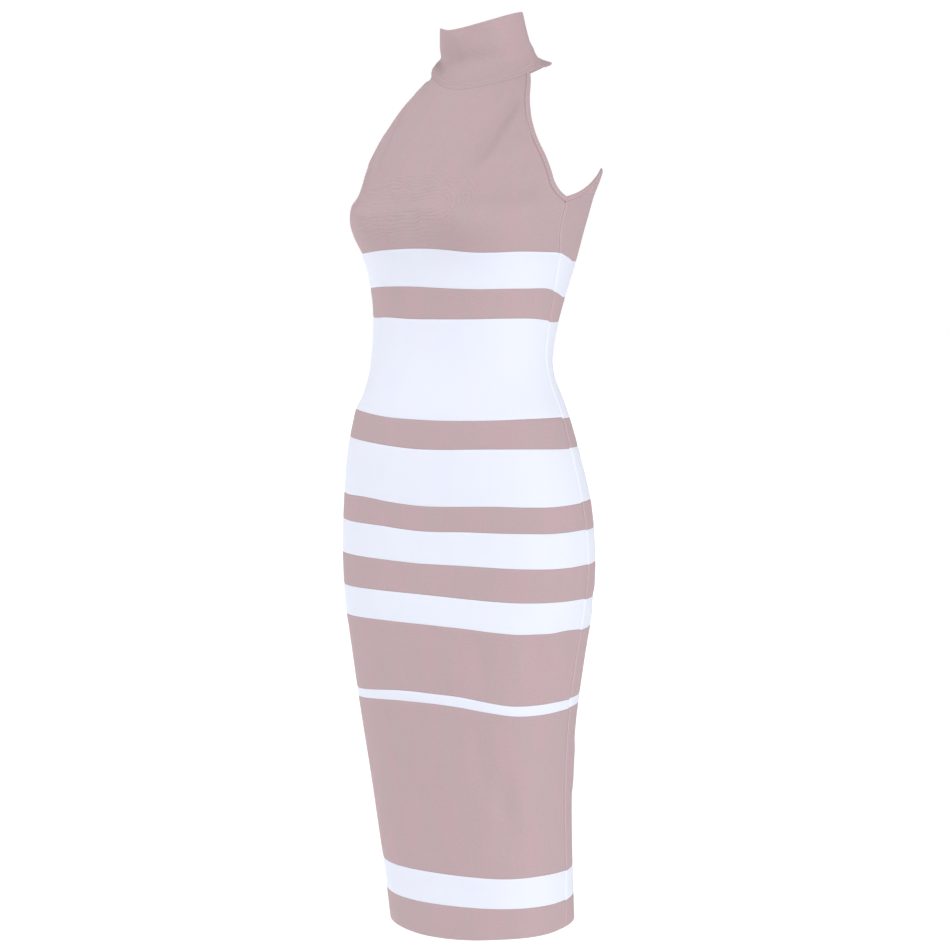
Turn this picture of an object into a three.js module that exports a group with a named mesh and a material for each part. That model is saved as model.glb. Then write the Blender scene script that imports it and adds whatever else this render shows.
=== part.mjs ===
// A sleeveless high-necked knit dress in bands of two colours, worn and filled out, as hollow cloth walls.
// Millimetres. Tables count heights up from the hem; x points to the wearer's left and y to the wearer's back.
import * as THREE from "three";

// The cloth and how its pieces meet.
const CLOTH = 1.6;
const BINDING_CLOTH = 2.2;
const BINDING_WIDE = 6.5;
const COLLAR_CLOTH = 2.6;
const SEAM_GAP = 0.3;

// How finely the walls are divided: columns over half of a ring, and the tallest row of a band.
const COLUMNS = 20;
const COLLAR_COLUMNS = 40;
const COLLAR_ROWS = 7;
const COLLAR_CROWD = 1.5; // above 1, the collar's rows crowd towards its flared foot
const TALLEST_ROW = 40;
const SMALL_STEP = 0.01;

// The worn form, level by level.
// at: height above the hem at the level's middle. half: half of its width.
// front, back: where its front and back lines lie. seam: how far behind the middle the side seam runs.
// rise: how many millimetres the level climbs for each millimetre towards the back.
// square: the roundness of its front half, where 2 is an ellipse and more is squarer. The back half has its own table.
const LEVELS = [
  { at: 0, half: 119, front: -75, back: 105, seam: 7, rise: 0, square: 2.25 },
  { at: 20, half: 120, front: -77, back: 103, seam: 8, rise: 0, square: 2.25 },
  { at: 60, half: 122, front: -80, back: 99, seam: 12, rise: 0, square: 2.25 },
  { at: 100, half: 125, front: -85, back: 94, seam: 13, rise: 0, square: 2.25 },
  { at: 180, half: 131, front: -95, back: 89, seam: 12, rise: 0, square: 2.25 },
  { at: 260, half: 140, front: -105, back: 91, seam: 11, rise: 0, square: 2.25 },
  { at: 330, half: 150, front: -111, back: 100, seam: 9, rise: 0, square: 2.25 },
  { at: 400, half: 162, front: -112, back: 106, seam: 11, rise: 0, square: 2.25 },
  { at: 460, half: 166, front: -109, back: 105, seam: 15, rise: 0, square: 2.25 },
  { at: 520, half: 162, front: -108, back: 102, seam: 11, rise: 0, square: 2.25 },
  { at: 580, half: 151, front: -108, back: 91, seam: 12, rise: 0, square: 2.25 },
  { at: 630, half: 137, front: -103, back: 82, seam: 14, rise: 0, square: 2.25 },
  { at: 660, half: 125, front: -95, back: 76, seam: 15, rise: 0, square: 2.25 },
  { at: 690, half: 117, front: -89, back: 75, seam: 13, rise: 0, square: 2.25 },
  { at: 720, half: 116, front: -86, back: 84, seam: 9, rise: 0, square: 2.25 },
  { at: 760, half: 119, front: -87, back: 104, seam: 6, rise: 0, square: 2.25 },
  { at: 800, half: 127, front: -92, back: 122, seam: 2, rise: 0, square: 2.25 },
  { at: 840, half: 139, front: -102, back: 135, seam: -13, rise: 0, square: 2.25 },
  { at: 870, half: 149, front: -105, back: 144, seam: -19, rise: 0, square: 2.1 },
  { at: 890, half: 152, front: -101, back: 151, seam: -20, rise: 0.01, square: 1.8 },
  { at: 913, half: 149, front: -94, back: 156, seam: -20, rise: 0.02, square: 1.75 },
  { at: 937, half: 140, front: -84, back: 155, seam: -20, rise: 0.04, square: 1.75 },
  { at: 965, half: 128.5, front: -62, back: 150, seam: -20, rise: 0.07, square: 1.75 },
  { at: 1000, half: 107.5, front: -34, back: 147, seam: -20, rise: 0.11, square: 1.85 },
  { at: 1035, half: 73, front: -8, back: 144, seam: -20, rise: 0.145, square: 1.9 },
  { at: 1042, half: 62, front: 0, back: 127, seam: -20, rise: 0.15, square: 2.25 },
  { at: 1052, half: 54, front: 4, back: 110, seam: -20, rise: 0.16, square: 2.25 },
  { at: 1070, half: 51, front: 0, back: 102, seam: -20, rise: 0.17, square: 2.25 },
  { at: 1100, half: 47, front: -2, back: 94, seam: -20, rise: 0.18, square: 2.25 },
];
const BACK_SQUARE = [
  { at: 0, square: 2.25 },
  { at: 800, square: 2.25 },
  { at: 840, square: 2.15 },
  { at: 870, square: 2.05 },
  { at: 890, square: 2.05 },
  { at: 913, square: 2.08 },
  { at: 940, square: 2.25 },
  { at: 1100, square: 2.25 },
];
const COLLAR_BASE = { front: 1020, left: 1036, back: 1034, right: 1036 };
const COLLAR_TOP = { front: 1091, left: 1100, back: 1092, right: 1088 };

// The bust: two rounds on the front, each fading over its own reach up, down and sideways.
const BUST = { at: 858, aside: 76, out: 17, up: 36, down: 32, across: 48 };

// The bands from the hem up. Each row is a band's upper edge, at its height in front, at the
// wearer's left side, behind, and at the wearer's right side.
const BANDS = [
  { name: "hem", colour: "mauve", front: 40, left: 41, back: 38, right: 38 },
  { name: "band_01", colour: "white", front: 79, left: 78, back: 75, right: 77 },
  { name: "band_02", colour: "mauve", front: 291, left: 278, back: 293, right: 278 },
  { name: "band_03", colour: "white", front: 304, left: 289, back: 305, right: 289 },
  { name: "band_04", colour: "mauve", front: 386, left: 375, back: 382, right: 379 },
  { name: "band_05", colour: "white", front: 421, left: 411, back: 415, right: 415 },
  { name: "band_06", colour: "mauve", front: 458, left: 452, back: 452, right: 455 },
  { name: "band_07", colour: "white", front: 496, left: 493, back: 489, right: 496 },
  { name: "band_08", colour: "mauve", front: 526, left: 525, back: 524, right: 531 },
  { name: "band_09", colour: "white", front: 592, left: 590, back: 582, right: 597 },
  { name: "band_10", colour: "mauve", front: 626, left: 625, back: 619, right: 631 },
  { name: "band_11", colour: "white", front: 742, left: 739, back: 731, right: 741 },
  { name: "band_12", colour: "mauve", front: 779, left: 772, back: 763, right: 775 },
  { name: "band_13", colour: "white", front: 823, left: 813, back: 802, right: 813 },
];
const HEM_LINE = { front: 0, left: 4, back: 1, right: 2 };

// The armhole's front edge, from the side seam up to the collar, as degrees in front of the side.
const ARMHOLE = [
  { at: 882, degrees: 7.5 },
  { at: 886, degrees: 10.3 },
  { at: 893, degrees: 13 },
  { at: 902, degrees: 15.2 },
  { at: 914, degrees: 16.8 },
  { at: 932, degrees: 18.8 },
  { at: 947, degrees: 21.3 },
  { at: 962, degrees: 23.4 },
  { at: 985, degrees: 25.3 },
  { at: 1008, degrees: 24.4 },
  { at: 1032, degrees: 18 },
];

// The back's top edge, from the side seam to the middle of the back, at degrees behind the side.
const BACK_EDGE = [
  { degrees: -7.5, at: 882 },
  { degrees: 0, at: 887 },
  { degrees: 6, at: 892.5 },
  { degrees: 11, at: 898 },
  { degrees: 17, at: 905.5 },
  { degrees: 23, at: 912.5 },
  { degrees: 28, at: 913.5 },
  { degrees: 36, at: 903 },
  { degrees: 57, at: 880 },
  { degrees: 75, at: 869 },
  { degrees: 90, at: 866 },
];

// The peaks of the back's top edge lean out from the body: by how much, where, and over what reach.
const PEAK = { out: 7, degrees: 30, wide: 17, from: 880, to: 911 };

// Where the group's origin lies in the tables' frame: the middle of the neck at the collar's seam.
const NECK = { back: 68, at: 1035 };

const KNIT = {
  mauve: { color: 0xc4acae, roughness: 0.8 },
  white: { color: 0xe6eaf5, roughness: 0.75 },
};

const FRONT_ANGLE = -Math.PI / 2;
const BACK_ANGLE = Math.PI / 2;

// A smooth curve through one column of a table: each row's slope comes from its two neighbours.
function column(rows, along, value) {
  const xs = rows.map((row) => row[along]);
  const ys = rows.map((row) => row[value]);
  const last = rows.length - 1;
  const slopes = ys.map((_, i) => {
    const before = Math.max(i - 1, 0);
    const after = Math.min(i + 1, last);
    return (ys[after] - ys[before]) / (xs[after] - xs[before]);
  });
  return (x) => {
    let i = 0;
    while (i < last - 1 && x > xs[i + 1]) i += 1;
    const span = xs[i + 1] - xs[i];
    const t = THREE.MathUtils.clamp((x - xs[i]) / span, 0, 1);
    const rest = 1 - t;
    const start = ys[i] * (1 + 2 * t) + slopes[i] * span * t;
    const end = ys[i + 1] * (1 + 2 * rest) - slopes[i + 1] * span * rest;
    return start * rest * rest + end * t * t;
  };
}

const level = {};
for (const key of ["half", "front", "back", "seam", "rise", "square"]) {
  level[key] = column(LEVELS, "at", key);
}
const backSquare = column(BACK_SQUARE, "at", "square");
const armholeDegrees = column(ARMHOLE, "at", "degrees");
const backEdgeAt = column(BACK_EDGE, "degrees", "at");

// How far the bust stands out at a place on the front.
function bustOut(x, at) {
  const reach = at > BUST.at ? BUST.up : BUST.down;
  const aside = (Math.abs(x) - BUST.aside) / BUST.across;
  const above = (at - BUST.at) / reach;
  return BUST.out * Math.exp(-aside * aside - above * above);
}

// Degrees behind the nearer side, on either half of the back.
function degreesBehind(angle) {
  return 90 - Math.abs(THREE.MathUtils.radToDeg(angle) - 90);
}

function peakOut(angle, at) {
  const aside = (degreesBehind(angle) - PEAK.degrees) / PEAK.wide;
  return PEAK.out * Math.exp(-aside * aside) * THREE.MathUtils.smoothstep(at, PEAK.from, PEAK.to);
}

// A point of the worn form. The angle is 0 at the wearer's left side and a quarter turn back from there behind.
function formPoint(angle, at) {
  const front = level.front(at);
  const back = level.back(at);
  const depth = (back - front) / 2;
  const across = Math.abs(Math.cos(angle)) / level.half(at);
  const along = Math.abs(Math.sin(angle)) / depth;
  const square = Math.sin(angle) < 0 ? level.square(at) : backSquare(at);
  const plain = (across ** square + along ** square) ** (-1 / square);
  const reach = plain + (at < COLLAR_BASE.front ? peakOut(angle, at) : 0);
  const x = reach * Math.cos(angle);
  let behind = reach * Math.sin(angle);
  const bustFade = depth / 2; // the bust fades out over this distance from the line of the sides
  if (behind < 0) behind -= bustOut(x, at) * THREE.MathUtils.smoothstep(-behind, 0, bustFade);
  return new THREE.Vector3(x, (front + back) / 2 + behind, at + level.rise(at) * behind);
}

function formNormal(angle, at) {
  const turn = SMALL_STEP / level.half(at);
  const round = formPoint(angle + turn, at).sub(formPoint(angle - turn, at));
  const up = formPoint(angle, at + SMALL_STEP).sub(formPoint(angle, at - SMALL_STEP));
  return round.cross(up).normalize();
}

// An angle that runs a given distance of cloth at a level.
const turnOf = (distance, at) => distance / level.half(at);
const seamAngle = (at) => Math.atan2(level.seam(at), level.half(at));

// A closed cloth wall over a grid of places on the form. place(u, v) gives the angle and the height for
// u and v from 0 to 1, u towards the wearer's left in front. out moves the whole wall outwards.
function wall(place, columns, rows, { thick = CLOTH, out = 0, ring = false } = {}) {
  const corners = [];
  const across = ring ? columns : columns + 1;
  for (const depth of [-out, thick - out]) {
    for (let j = 0; j <= rows; j += 1) {
      for (let i = 0; i < across; i += 1) {
        const { angle, at } = place(i / columns, j / rows);
        corners.push(formPoint(angle, at).addScaledVector(formNormal(angle, at), -depth));
      }
    }
  }
  const inner = corners.length / 2;
  const corner = (i, j) => j * across + (i % across);
  const faces = [];
  const quad = (a, b, c, d) => faces.push(a, b, c, a, c, d);
  for (let j = 0; j < rows; j += 1) {
    for (let i = 0; i < columns; i += 1) {
      const [a, b, c, d] = [corner(i, j), corner(i + 1, j), corner(i + 1, j + 1), corner(i, j + 1)];
      quad(a, b, c, d);
      quad(d + inner, c + inner, b + inner, a + inner);
    }
  }
  const border = [];
  for (let i = 0; i < columns; i += 1) border.push([corner(i, 0), corner(i + 1, 0)]);
  for (let i = 0; i < columns; i += 1) border.push([corner(i + 1, rows), corner(i, rows)]);
  for (let j = 0; j < rows && !ring; j += 1) {
    border.push([corner(columns, j), corner(columns, j + 1)]);
    border.push([corner(0, j + 1), corner(0, j)]);
  }
  for (const [a, b] of border) quad(b, a, a + inner, b + inner);
  const geometry = new THREE.BufferGeometry().setFromPoints(corners);
  geometry.setIndex(faces);
  geometry.computeVertexNormals();
  return geometry;
}

function piece(name, colour, geometry) {
  const mesh = new THREE.Mesh(geometry, new THREE.MeshStandardMaterial({ ...KNIT[colour], metalness: 0 }));
  mesh.name = name;
  return mesh;
}

// A band edge's height at an angle, smooth all round through its four heights.
function edgeAt({ front, left, back, right }, angle) {
  const mean = (front + left + back + right) / 4;
  const tilt = ((left - right) / 2) * Math.cos(angle) + ((back - front) / 2) * Math.sin(angle);
  const bow = ((left + right - front - back) / 4) * Math.cos(2 * angle);
  return mean + tilt + bow;
}

// The angle a share of the way across the front or the back, between the two side seams at a height.
function acrossFront(u, at, inset) {
  const reach = seamAngle(at) - FRONT_ANGLE - inset;
  return FRONT_ANGLE + (2 * u - 1) * reach;
}
function acrossBack(u, at, inset) {
  const reach = BACK_ANGLE - seamAngle(at) - inset;
  return BACK_ANGLE + (2 * u - 1) * reach;
}

// One band of the front or the back, between two edges.
function bandWall(across, lower, upper) {
  const rows = Math.ceil((upper.front - lower.front) / TALLEST_ROW);
  return wall(
    (u, v) => {
      const guess = THREE.MathUtils.lerp(lower.left, upper.left, v);
      const angle = across(u, guess, turnOf(SEAM_GAP / 2, guess));
      const bottom = edgeAt(lower, angle) + SEAM_GAP / 2;
      const top = edgeAt(upper, angle) - SEAM_GAP / 2;
      return { angle, at: THREE.MathUtils.lerp(bottom, top, v) };
    },
    COLUMNS,
    rows,
  );
}

function bands() {
  const made = [];
  BANDS.forEach((band, i) => {
    const lower = i ? BANDS[i - 1] : HEM_LINE;
    made.push(piece("front_" + band.name, band.colour, bandWall(acrossFront, lower, band)));
    made.push(piece("back_" + band.name, band.colour, bandWall(acrossBack, lower, band)));
  });
  return made;
}

const BUST_LINE = BANDS.at(-1);
const UNDERARM = ARMHOLE[0].at;
const ARMHOLE_TOP = ARMHOLE.at(-1).at;
const PANEL_INSET = BINDING_WIDE + SEAM_GAP; // how far the panels stop short of a bound edge
const BODICE_ROWS = { side: 3, armhole: 11 };
const BINDING_TURN = 25; // how far up the armhole its binding has turned upright

const bodiceBottom = (angle) => edgeAt(BUST_LINE, angle) + SEAM_GAP / 2;
const bodiceTop = (angle) => edgeAt(COLLAR_BASE, angle) - SEAM_GAP / 2;

// A place beside the armhole's front edge on the wearer's left, at a share t of the way up it and a
// distance inwards from the edge: straight down at the side seam, and towards the front higher up.
function besideArmhole(t, inward) {
  const edge = THREE.MathUtils.lerp(UNDERARM, ARMHOLE_TOP, t);
  const upright = (Math.PI / 2) * THREE.MathUtils.smoothstep(edge, UNDERARM, UNDERARM + BINDING_TURN);
  const at = edge - inward * Math.cos(upright);
  const inset = turnOf(SEAM_GAP / 2 + inward * Math.sin(upright), at);
  const angle = -THREE.MathUtils.degToRad(armholeDegrees(edge)) - inset;
  return { angle, at: at + t * (bodiceTop(angle) - ARMHOLE_TOP) };
}

// The front's own side edge at a share v of its rows: the side seam, and then the armhole.
function sideOfFront(v) {
  const sideShare = BODICE_ROWS.side / (BODICE_ROWS.side + BODICE_ROWS.armhole);
  if (v > sideShare) return besideArmhole((v - sideShare) / (1 - sideShare), PANEL_INSET);
  const bottom = bodiceBottom(seamAngle(BUST_LINE.left));
  const at = THREE.MathUtils.lerp(bottom, UNDERARM - PANEL_INSET, v / sideShare);
  return { angle: seamAngle(at) - turnOf(SEAM_GAP / 2, at), at };
}

// The share of the way from the bust line to the collar at which a height lies.
function upTheBodice(angle, at) {
  return THREE.MathUtils.inverseLerp(bodiceBottom(angle), bodiceTop(angle), at);
}

function frontBodice() {
  return wall(
    (u, v) => {
      const side = sideOfFront(v);
      const angle = FRONT_ANGLE + (2 * u - 1) * (side.angle - FRONT_ANGLE);
      const share = upTheBodice(side.angle, side.at);
      return { angle, at: THREE.MathUtils.lerp(bodiceBottom(angle), bodiceTop(angle), share) };
    },
    COLUMNS,
    BODICE_ROWS.side + BODICE_ROWS.armhole,
  );
}

function backBodice() {
  return wall(
    (u, v) => {
      const side = THREE.MathUtils.lerp(BUST_LINE.left, UNDERARM - PANEL_INSET, v);
      const angle = acrossBack(u, side, turnOf(SEAM_GAP / 2, side));
      const bottom = edgeAt(BUST_LINE, angle) + SEAM_GAP / 2;
      const top = backEdgeAt(degreesBehind(angle)) - PANEL_INSET;
      return { angle, at: THREE.MathUtils.lerp(bottom, top, v) };
    },
    COLUMNS,
    BODICE_ROWS.side,
  );
}

const BOUND = { thick: BINDING_CLOTH, out: (BINDING_CLOTH - CLOTH) / 2 };

// The strip that binds the back's top edge from side seam to side seam.
function backBinding() {
  return wall(
    (u, v) => {
      const angle = acrossBack(u, UNDERARM, turnOf(SEAM_GAP / 2, UNDERARM));
      return { angle, at: backEdgeAt(degreesBehind(angle)) - BINDING_WIDE * (1 - v) };
    },
    COLUMNS,
    1,
    BOUND,
  );
}

// The strip that binds one armhole's front edge, from the side seam up to the collar: side is 1 for
// the wearer's left and -1 for the right.
function armholeBinding(side) {
  return wall(
    (u, v) => {
      const place = besideArmhole(v, BINDING_WIDE * (side > 0 ? 1 - u : u));
      return { angle: side > 0 ? place.angle : 2 * FRONT_ANGLE - place.angle, at: place.at };
    },
    1,
    BODICE_ROWS.armhole,
    BOUND,
  );
}

function collar() {
  return wall(
    (u, v) => {
      const angle = 2 * Math.PI * u;
      const bottom = edgeAt(COLLAR_BASE, angle) + SEAM_GAP / 2;
      return { angle, at: THREE.MathUtils.lerp(bottom, edgeAt(COLLAR_TOP, angle), v ** COLLAR_CROWD) };
    },
    COLLAR_COLUMNS,
    COLLAR_ROWS,
    { thick: COLLAR_CLOTH, out: (COLLAR_CLOTH - CLOTH) / 2, ring: true },
  );
}

const dress = new THREE.Group();
dress.add(...bands());
dress.add(piece("front_bodice", "mauve", frontBodice()));
dress.add(piece("back_bodice", "mauve", backBodice()));
dress.add(piece("binding_back", "mauve", backBinding()));
dress.add(piece("binding_left", "mauve", armholeBinding(1)));
dress.add(piece("binding_right", "mauve", armholeBinding(-1)));
dress.add(piece("collar", "mauve", collar()));
dress.position.set(0, -NECK.back, -NECK.at);

const part = new THREE.Group();
part.add(dress);

export default part;
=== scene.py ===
# %% [markdown]
# # A sleeveless knit dress in bands, worn and hollow
#
# The dress is strips of thick stretch knit, pink and white by turns, sewn edge to edge round the
# body, with a halter bodice above them, a bare back, bound armholes and a standing collar.
# It is shown as worn, but with nobody in it, so the cloth itself has to hold the shape.
#
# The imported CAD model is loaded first. It fixes where every piece lies, and each thin cloth piece
# made here then takes the place of one CAD solid.

from math import cos, sin, radians, pi

import bpy
import numpy as np
from mathutils import Matrix, Vector


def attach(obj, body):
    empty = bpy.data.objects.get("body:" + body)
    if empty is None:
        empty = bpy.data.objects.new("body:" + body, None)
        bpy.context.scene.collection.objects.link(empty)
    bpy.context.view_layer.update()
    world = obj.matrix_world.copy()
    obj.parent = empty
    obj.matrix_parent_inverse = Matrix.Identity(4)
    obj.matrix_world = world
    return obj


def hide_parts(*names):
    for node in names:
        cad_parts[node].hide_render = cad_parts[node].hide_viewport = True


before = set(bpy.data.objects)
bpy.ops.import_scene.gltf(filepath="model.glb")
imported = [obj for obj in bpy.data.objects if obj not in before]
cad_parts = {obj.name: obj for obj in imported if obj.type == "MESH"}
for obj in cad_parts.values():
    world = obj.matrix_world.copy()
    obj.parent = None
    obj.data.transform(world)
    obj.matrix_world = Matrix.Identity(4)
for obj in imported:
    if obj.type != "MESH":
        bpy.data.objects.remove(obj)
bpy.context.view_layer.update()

# %% [markdown]
# ## The camera
#
# A product photograph like this one is taken from far off with a long lens, so that the hem and
# the collar are seen almost level. The camera stands 3 m away, 36 degrees round to the wearer's
# left, at the height of the bust, and looks slightly down. The lens follows from the picture:
# the 1.10 m long dress fills nearly all of its height.

# %% Camera at the photograph's angle
PICTURE = 950          # pixels each way
LENS_PIXELS = 2500     # how many pixels one metre spans at one metre's distance
AROUND, DOWN, LEAN = radians(36), radians(5.7), radians(1.0)
CAMERA_AT = (1.77145, -2.48917, -0.185)

ahead = Vector((-sin(AROUND) * cos(DOWN), cos(AROUND) * cos(DOWN), -sin(DOWN)))
aside = Vector((cos(AROUND), sin(AROUND), 0))
above = aside.cross(ahead)
leaning_aside = aside * cos(LEAN) - above * sin(LEAN)
leaning_above = aside * sin(LEAN) + above * cos(LEAN)

camera_data = bpy.data.cameras.new("studio_camera")
camera_data.sensor_width = 36
camera_data.lens = LENS_PIXELS / PICTURE * camera_data.sensor_width
camera_data.clip_end = 50
camera = bpy.data.objects.new("studio_camera", camera_data)
turned = Matrix((leaning_aside, leaning_above, -ahead)).transposed().to_4x4()
camera.matrix_world = Matrix.Translation(CAMERA_AT) @ turned
bpy.context.scene.collection.objects.link(camera)
bpy.context.scene.camera = camera
print("camera at", CAMERA_AT, "lens", round(camera_data.lens, 1))

# %% [markdown]
# ## The worn form
#
# Real stretch knit is cut smaller than the body and takes the body's shape, so the form comes
# first and the cloth is laid on it. The form is a stack of level sections: each is a rounded
# oval with its own half width, front line and back line. Smooth curves join one level to the
# next. The tables are the ones that the CAD solids were made from, in millimetres up from the hem.

# %% Level sections and smooth curves through them
# at, half width, front line, back line, side seam behind the middle, rise towards the back, squareness
LEVELS = [
    (0, 119, -75, 105, 7, 0, 2.25), (20, 120, -77, 103, 8, 0, 2.25), (60, 122, -80, 99, 12, 0, 2.25),
    (100, 125, -85, 94, 13, 0, 2.25), (180, 131, -95, 89, 12, 0, 2.25), (260, 140, -105, 91, 11, 0, 2.25),
    (330, 150, -111, 100, 9, 0, 2.25), (400, 162, -112, 106, 11, 0, 2.25),
    (460, 166, -109, 105, 15, 0, 2.25), (520, 162, -108, 102, 11, 0, 2.25),
    (580, 151, -108, 91, 12, 0, 2.25), (630, 137, -103, 82, 14, 0, 2.25),
    (660, 125, -95, 76, 15, 0, 2.25), (690, 117, -89, 75, 13, 0, 2.25), (720, 116, -86, 84, 9, 0, 2.25),
    (760, 119, -87, 104, 6, 0, 2.25), (800, 127, -92, 122, 2, 0, 2.25),
    (840, 139, -102, 135, -13, 0, 2.25), (870, 149, -105, 144, -19, 0, 2.1),
    (890, 152, -101, 151, -20, 0.01, 1.8), (913, 149, -94, 156, -20, 0.02, 1.75),
    (937, 140, -84, 155, -20, 0.04, 1.75), (965, 128.5, -62, 150, -20, 0.07, 1.75),
    (1000, 107.5, -34, 147, -20, 0.11, 1.85), (1035, 73, -8, 144, -20, 0.145, 1.9),
    (1042, 62, 0, 127, -20, 0.15, 2.25), (1052, 54, 4, 110, -20, 0.16, 2.25),
    (1070, 51, 0, 102, -20, 0.17, 2.25), (1100, 47, -2, 94, -20, 0.18, 2.25),
]
# height, squareness of the back half
BACK_SQUARE = [(0, 2.25), (800, 2.25), (840, 2.15), (870, 2.05), (890, 2.05), (913, 2.08), (940, 2.25),
    (1100, 2.25)]
NECK_BACK, NECK_AT = 68, 1035   # the frame's origin in the tables' millimetres


def smooth_curve(places, values):
    """A smooth curve through a table's values; each slope comes from the two neighbours."""
    x, y = np.array(places, float), np.array(values, float)
    low, high = np.r_[0, :len(x) - 1][:len(x)], np.r_[1:len(x), len(x) - 1]
    slope = (y[high] - y[low]) / (x[high] - x[low])

    def value_at(where):
        where = np.asarray(where, float)
        i = np.clip(np.searchsorted(x, where) - 1, 0, len(x) - 2)
        span = x[i + 1] - x[i]
        t = np.clip((where - x[i]) / span, 0, 1)
        rest = 1 - t
        start = y[i] * (1 + 2 * t) + slope[i] * span * t
        end = y[i + 1] * (1 + 2 * rest) - slope[i + 1] * span * rest
        return start * rest**2 + end * t**2
    return value_at


heights = [row[0] for row in LEVELS]
half_at, front_at, back_at, seam_at, rise_at, square_at = (
    smooth_curve(heights, [row[k] for row in LEVELS]) for k in range(1, 7))
back_square_at = smooth_curve([at for at, _ in BACK_SQUARE], [s for _, s in BACK_SQUARE])
print("waist half width", float(half_at(710)), "hip", float(half_at(460)), "bust", float(half_at(858)))

# %% [markdown]
# Two rounds for the bust stand out of the front, and the two peaks of the open back lean out a
# little. A point of the form is found by its angle round the body and its height, and the cloth
# stands out along the form's own outward direction there.

# %% A place on the worn form
BUST_AT, BUST_ASIDE, BUST_OUT = 858, 76, 17        # height, from the middle, how far out
BUST_UP, BUST_DOWN, BUST_ACROSS = 36, 32, 48       # how far each round spreads
PEAK_OUT, PEAK_BEHIND, PEAK_WIDE = 7, 30, 17   # millimetres, degrees behind the side, degrees
COLLAR_SEAM = (1020, 1036, 1034, 1036)   # front, wearer's left, back, wearer's right


def ease(x, low, high):
    t = np.clip((x - low) / (high - low), 0, 1)
    return t * t * (3 - 2 * t)


def behind_side(angle):
    """Degrees behind the nearer side of the body, less than nothing in front."""
    return 90 - np.abs(np.degrees(angle) - 90)


def form_point(angle, at):
    front, back = front_at(at), back_at(at)
    depth = (back - front) / 2
    across, along = np.abs(np.cos(angle)) / half_at(at), np.abs(np.sin(angle)) / depth
    square = np.where(np.sin(angle) < 0, square_at(at), back_square_at(at))
    reach = (across**square + along**square) ** (-1 / square)
    peak = PEAK_OUT * np.exp(-((behind_side(angle) - PEAK_BEHIND) / PEAK_WIDE) ** 2) * ease(at, 880, 911)
    reach = reach + np.where(at < COLLAR_SEAM[0], peak, 0)
    x, behind = reach * np.cos(angle), reach * np.sin(angle)
    tall = np.where(at > BUST_AT, BUST_UP, BUST_DOWN)
    away = ((np.abs(x) - BUST_ASIDE) / BUST_ACROSS) ** 2 + ((at - BUST_AT) / tall) ** 2
    bust = BUST_OUT * np.exp(-away)
    behind = behind - np.where(behind < 0, bust * ease(-behind, 0, depth / 2), 0)
    return np.stack([x, (front + back) / 2 + behind, at + rise_at(at) * behind], -1)


def form_outward(angle, at):
    turn = 0.01 / half_at(at)
    round_it = form_point(angle + turn, at) - form_point(angle - turn, at)
    up_it = form_point(angle, at + 0.01) - form_point(angle, at - 0.01)
    out = np.cross(round_it, up_it)
    return out / np.linalg.norm(out, axis=-1, keepdims=True)


ring = np.linspace(0, 2 * pi, 361)
for label, at in (("hem", 5), ("hip", 460), ("waist", 705)):
    around = form_point(ring, np.full(361, float(at)))
    print(label, "round:", round(float(np.linalg.norm(np.diff(around, axis=0), axis=1).sum())), "mm")

# %% [markdown]
# ## Where the strips end
#
# Each strip's upper edge is level only in the pattern. Worn, it dips and climbs by a few
# millimetres as the cloth stretches over hip, waist and bust, and the machine feeds it unevenly,
# so the seam also wavers a little. The first table gives the long slow tilt of each edge, the
# second the short wavers, as degrees round the body and millimetres up. The front and the back
# strips were cut apart and don't meet exactly: the third number of a strip is that step.

# %% The strips and their wavering edges
# name, knit, upper edge in front, at the wearer's left, behind, at the right, step at the side seams
STRIPS = [
    ("hem", "mauve", 40, 41, 38, 38, -1.0), ("band_01", "white", 79, 78, 75, 77, -1.2),
    ("band_02", "mauve", 291, 278, 293, 278, 1.4), ("band_03", "white", 304, 289, 305, 289, 1.5),
    ("band_04", "mauve", 386, 375, 382, 379, -1.2), ("band_05", "white", 421, 411, 415, 415, -1.4),
    ("band_06", "mauve", 458, 452, 452, 455, -1.0), ("band_07", "white", 496, 493, 489, 496, -1.2),
    ("band_08", "mauve", 526, 525, 524, 531, 1.2), ("band_09", "white", 592, 590, 582, 597, 1.0),
    ("band_10", "mauve", 626, 625, 619, 631, -1.6), ("band_11", "white", 742, 739, 731, 741, -1.4),
    ("band_12", "mauve", 779, 772, 763, 775, -0.6), ("band_13", "white", 823, 813, 802, 813, 0.4),
]
HEM_LINE = (0, 4, 1, 2)   # the hem's lower edge on the same four sides

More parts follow.
